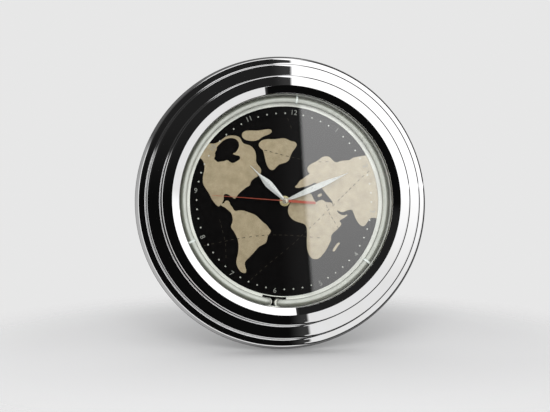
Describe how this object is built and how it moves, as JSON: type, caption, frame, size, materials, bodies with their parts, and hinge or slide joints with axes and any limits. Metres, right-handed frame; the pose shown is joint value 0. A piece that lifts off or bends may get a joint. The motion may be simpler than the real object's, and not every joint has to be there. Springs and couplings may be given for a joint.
{
  "type": "wall clock",
  "caption": "Round wall clock with a stepped mirror case, flat glass, a lit glass tube round a world map dial, leaf hands and a geared quartz movement behind a hanging cover.",
  "frame": {"origin": "centre of the hanging hole in the rear cover, on the plane of the wall", "axes": "+Y into the wall, dial towards -Y, +Z towards twelve o'clock, +X to the right as seen by someone who reads the dial"},
  "size_m": [0.3796, 0.0708, 0.3796],
  "materials": {
    "mirror_case": "mirror plated moulding",
    "lens": "clear flat glass",
    "gasket": "soft black",
    "tray": "pale satin",
    "tube_glass": "white coated inside",
    "clip": "clear moulding",
    "boot": "pale silicone",
    "lead": "silicone covered wire",
    "dial": "satin black with printed map",
    "brass": "turned and polished",
    "cushion": "soft black",
    "hand_white": "white lacquer",
    "hand_red": "red lacquer",
    "cap_metal": "polished dome",
    "wheel_plastic": "natural moulding",
    "wheel_brass": "cut and polished",
    "shaft_steel": "ground",
    "magnet": "sintered magnet",
    "housing": "fine grained black",
    "iron": "stamped sheet",
    "copper": "enamelled wire",
    "board": "green laminate",
    "can": "drawn can",
    "cell": "dark sleeve, no label",
    "spring_metal": "nickel plated",
    "cover": "fine grained black",
    "screw": "blackened",
    "ferrite": "dull grey",
    "winding_tape": "yellow tape",
    "capacitor_sleeve": "dark sleeve",
    "socket_plastic": "pale moulding",
    "jack_plastic": "black moulding",
    "switch_plastic": "black moulding",
    "slider_plastic": "pale moulding"
  },
  "bodies": {
    "case": {"front_bezel": "mirror_case", "glass_lens": "lens", "glass_gasket": "gasket", "reflector_tray": "tray", "neon_tube": "tube_glass", "tube_clip_top": "clip", "tube_clip_right": "clip", "tube_clip_left": "clip", "electrode_boot_left": "boot", "electrode_boot_right": "boot", "tube_lead_left": "lead", "tube_lead_right": "lead", "dial_plate": "dial", "threaded_bush": "brass", "bush_cushion": "cushion", "dial_washer": "brass", "dial_nut": "brass", "movement_front": "housing", "movement_tray": "housing", "middle_plate": "wheel_plastic", "stator": "iron", "coil_core": "iron", "coil_winding": "copper", "circuit_board": "board", "quartz_crystal": "can", "battery": "cell", "contact_positive": "spring_metal", "contact_negative": "spring_metal", "rear_cover": "cover", "cover_screws": "screw", "inverter_board": "board", "transformer_core": "ferrite", "transformer_winding": "winding_tape", "storage_capacitor": "capacitor_sleeve", "lead_socket": "socket_plastic", "dc_jack": "jack_plastic", "jack_pin": "spring_metal", "switch_body": "switch_plastic"},
    "minute_arbor": {"minute_hand": "hand_white", "minute_wheel": "wheel_brass"},
    "hour_arbor": {"hour_hand": "hand_white", "hour_wheel": "wheel_plastic"},
    "second_arbor": {"second_hand": "hand_red", "centre_cap": "cap_metal", "second_wheel": "shaft_steel"},
    "third_arbor": {"third_wheel": "wheel_plastic"},
    "setting_arbor": {"motion_wheel": "wheel_plastic", "setting_knob": "housing"},
    "fifth_arbor": {"fifth_wheel": "wheel_plastic"},
    "rotor": {"rotor_pinion": "wheel_plastic", "rotor_magnet": "magnet"},
    "light_switch": {"switch_slider": "slider_plastic"}
  },
  "joints": [
    {"name": "minute_spin", "type": "hinge", "parent": "case", "child": "minute_arbor", "pos_m": [0, -0.032, -0.098], "axis": [0, 1, 0], "continuous": true},
    {"name": "hour_spin", "type": "hinge", "parent": "case", "child": "hour_arbor", "pos_m": [0, -0.032, -0.098], "axis": [0, 1, 0], "continuous": true},
    {"name": "second_spin", "type": "hinge", "parent": "case", "child": "second_arbor", "pos_m": [0, -0.032, -0.098], "axis": [0, 1, 0], "continuous": true},
    {"name": "third_spin", "type": "hinge", "parent": "case", "child": "third_arbor", "pos_m": [-0.0072, -0.032, -0.098], "axis": [0, 1, 0], "continuous": true},
    {"name": "setting_spin", "type": "hinge", "parent": "case", "child": "setting_arbor", "pos_m": [0, -0.032, -0.0903], "axis": [0, 1, 0], "continuous": true},
    {"name": "fifth_spin", "type": "hinge", "parent": "case", "child": "fifth_arbor", "pos_m": [0.00566, -0.032, -0.10064], "axis": [0, 1, 0], "continuous": true},
    {"name": "rotor_spin", "type": "hinge", "parent": "case", "child": "rotor", "pos_m": [0.01117, -0.032, -0.09967], "axis": [0, 1, 0], "continuous": true},
    {"name": "switch_slide", "type": "slide", "parent": "case", "child": "light_switch", "axis": [-0.9781, 0, 0.2079], "range_m": [0, 0.004]}
  ],
  "couplings": [
    {"joint": "hour_spin", "follows": "minute_spin", "ratio": 0.083333},
    {"joint": "second_spin", "follows": "minute_spin", "ratio": 60},
    {"joint": "third_spin", "follows": "minute_spin", "ratio": -7.5},
    {"joint": "setting_spin", "follows": "minute_spin", "ratio": -0.33333},
    {"joint": "fifth_spin", "follows": "minute_spin", "ratio": -300},
    {"joint": "rotor_spin", "follows": "minute_spin", "ratio": 1800}
  ]
}
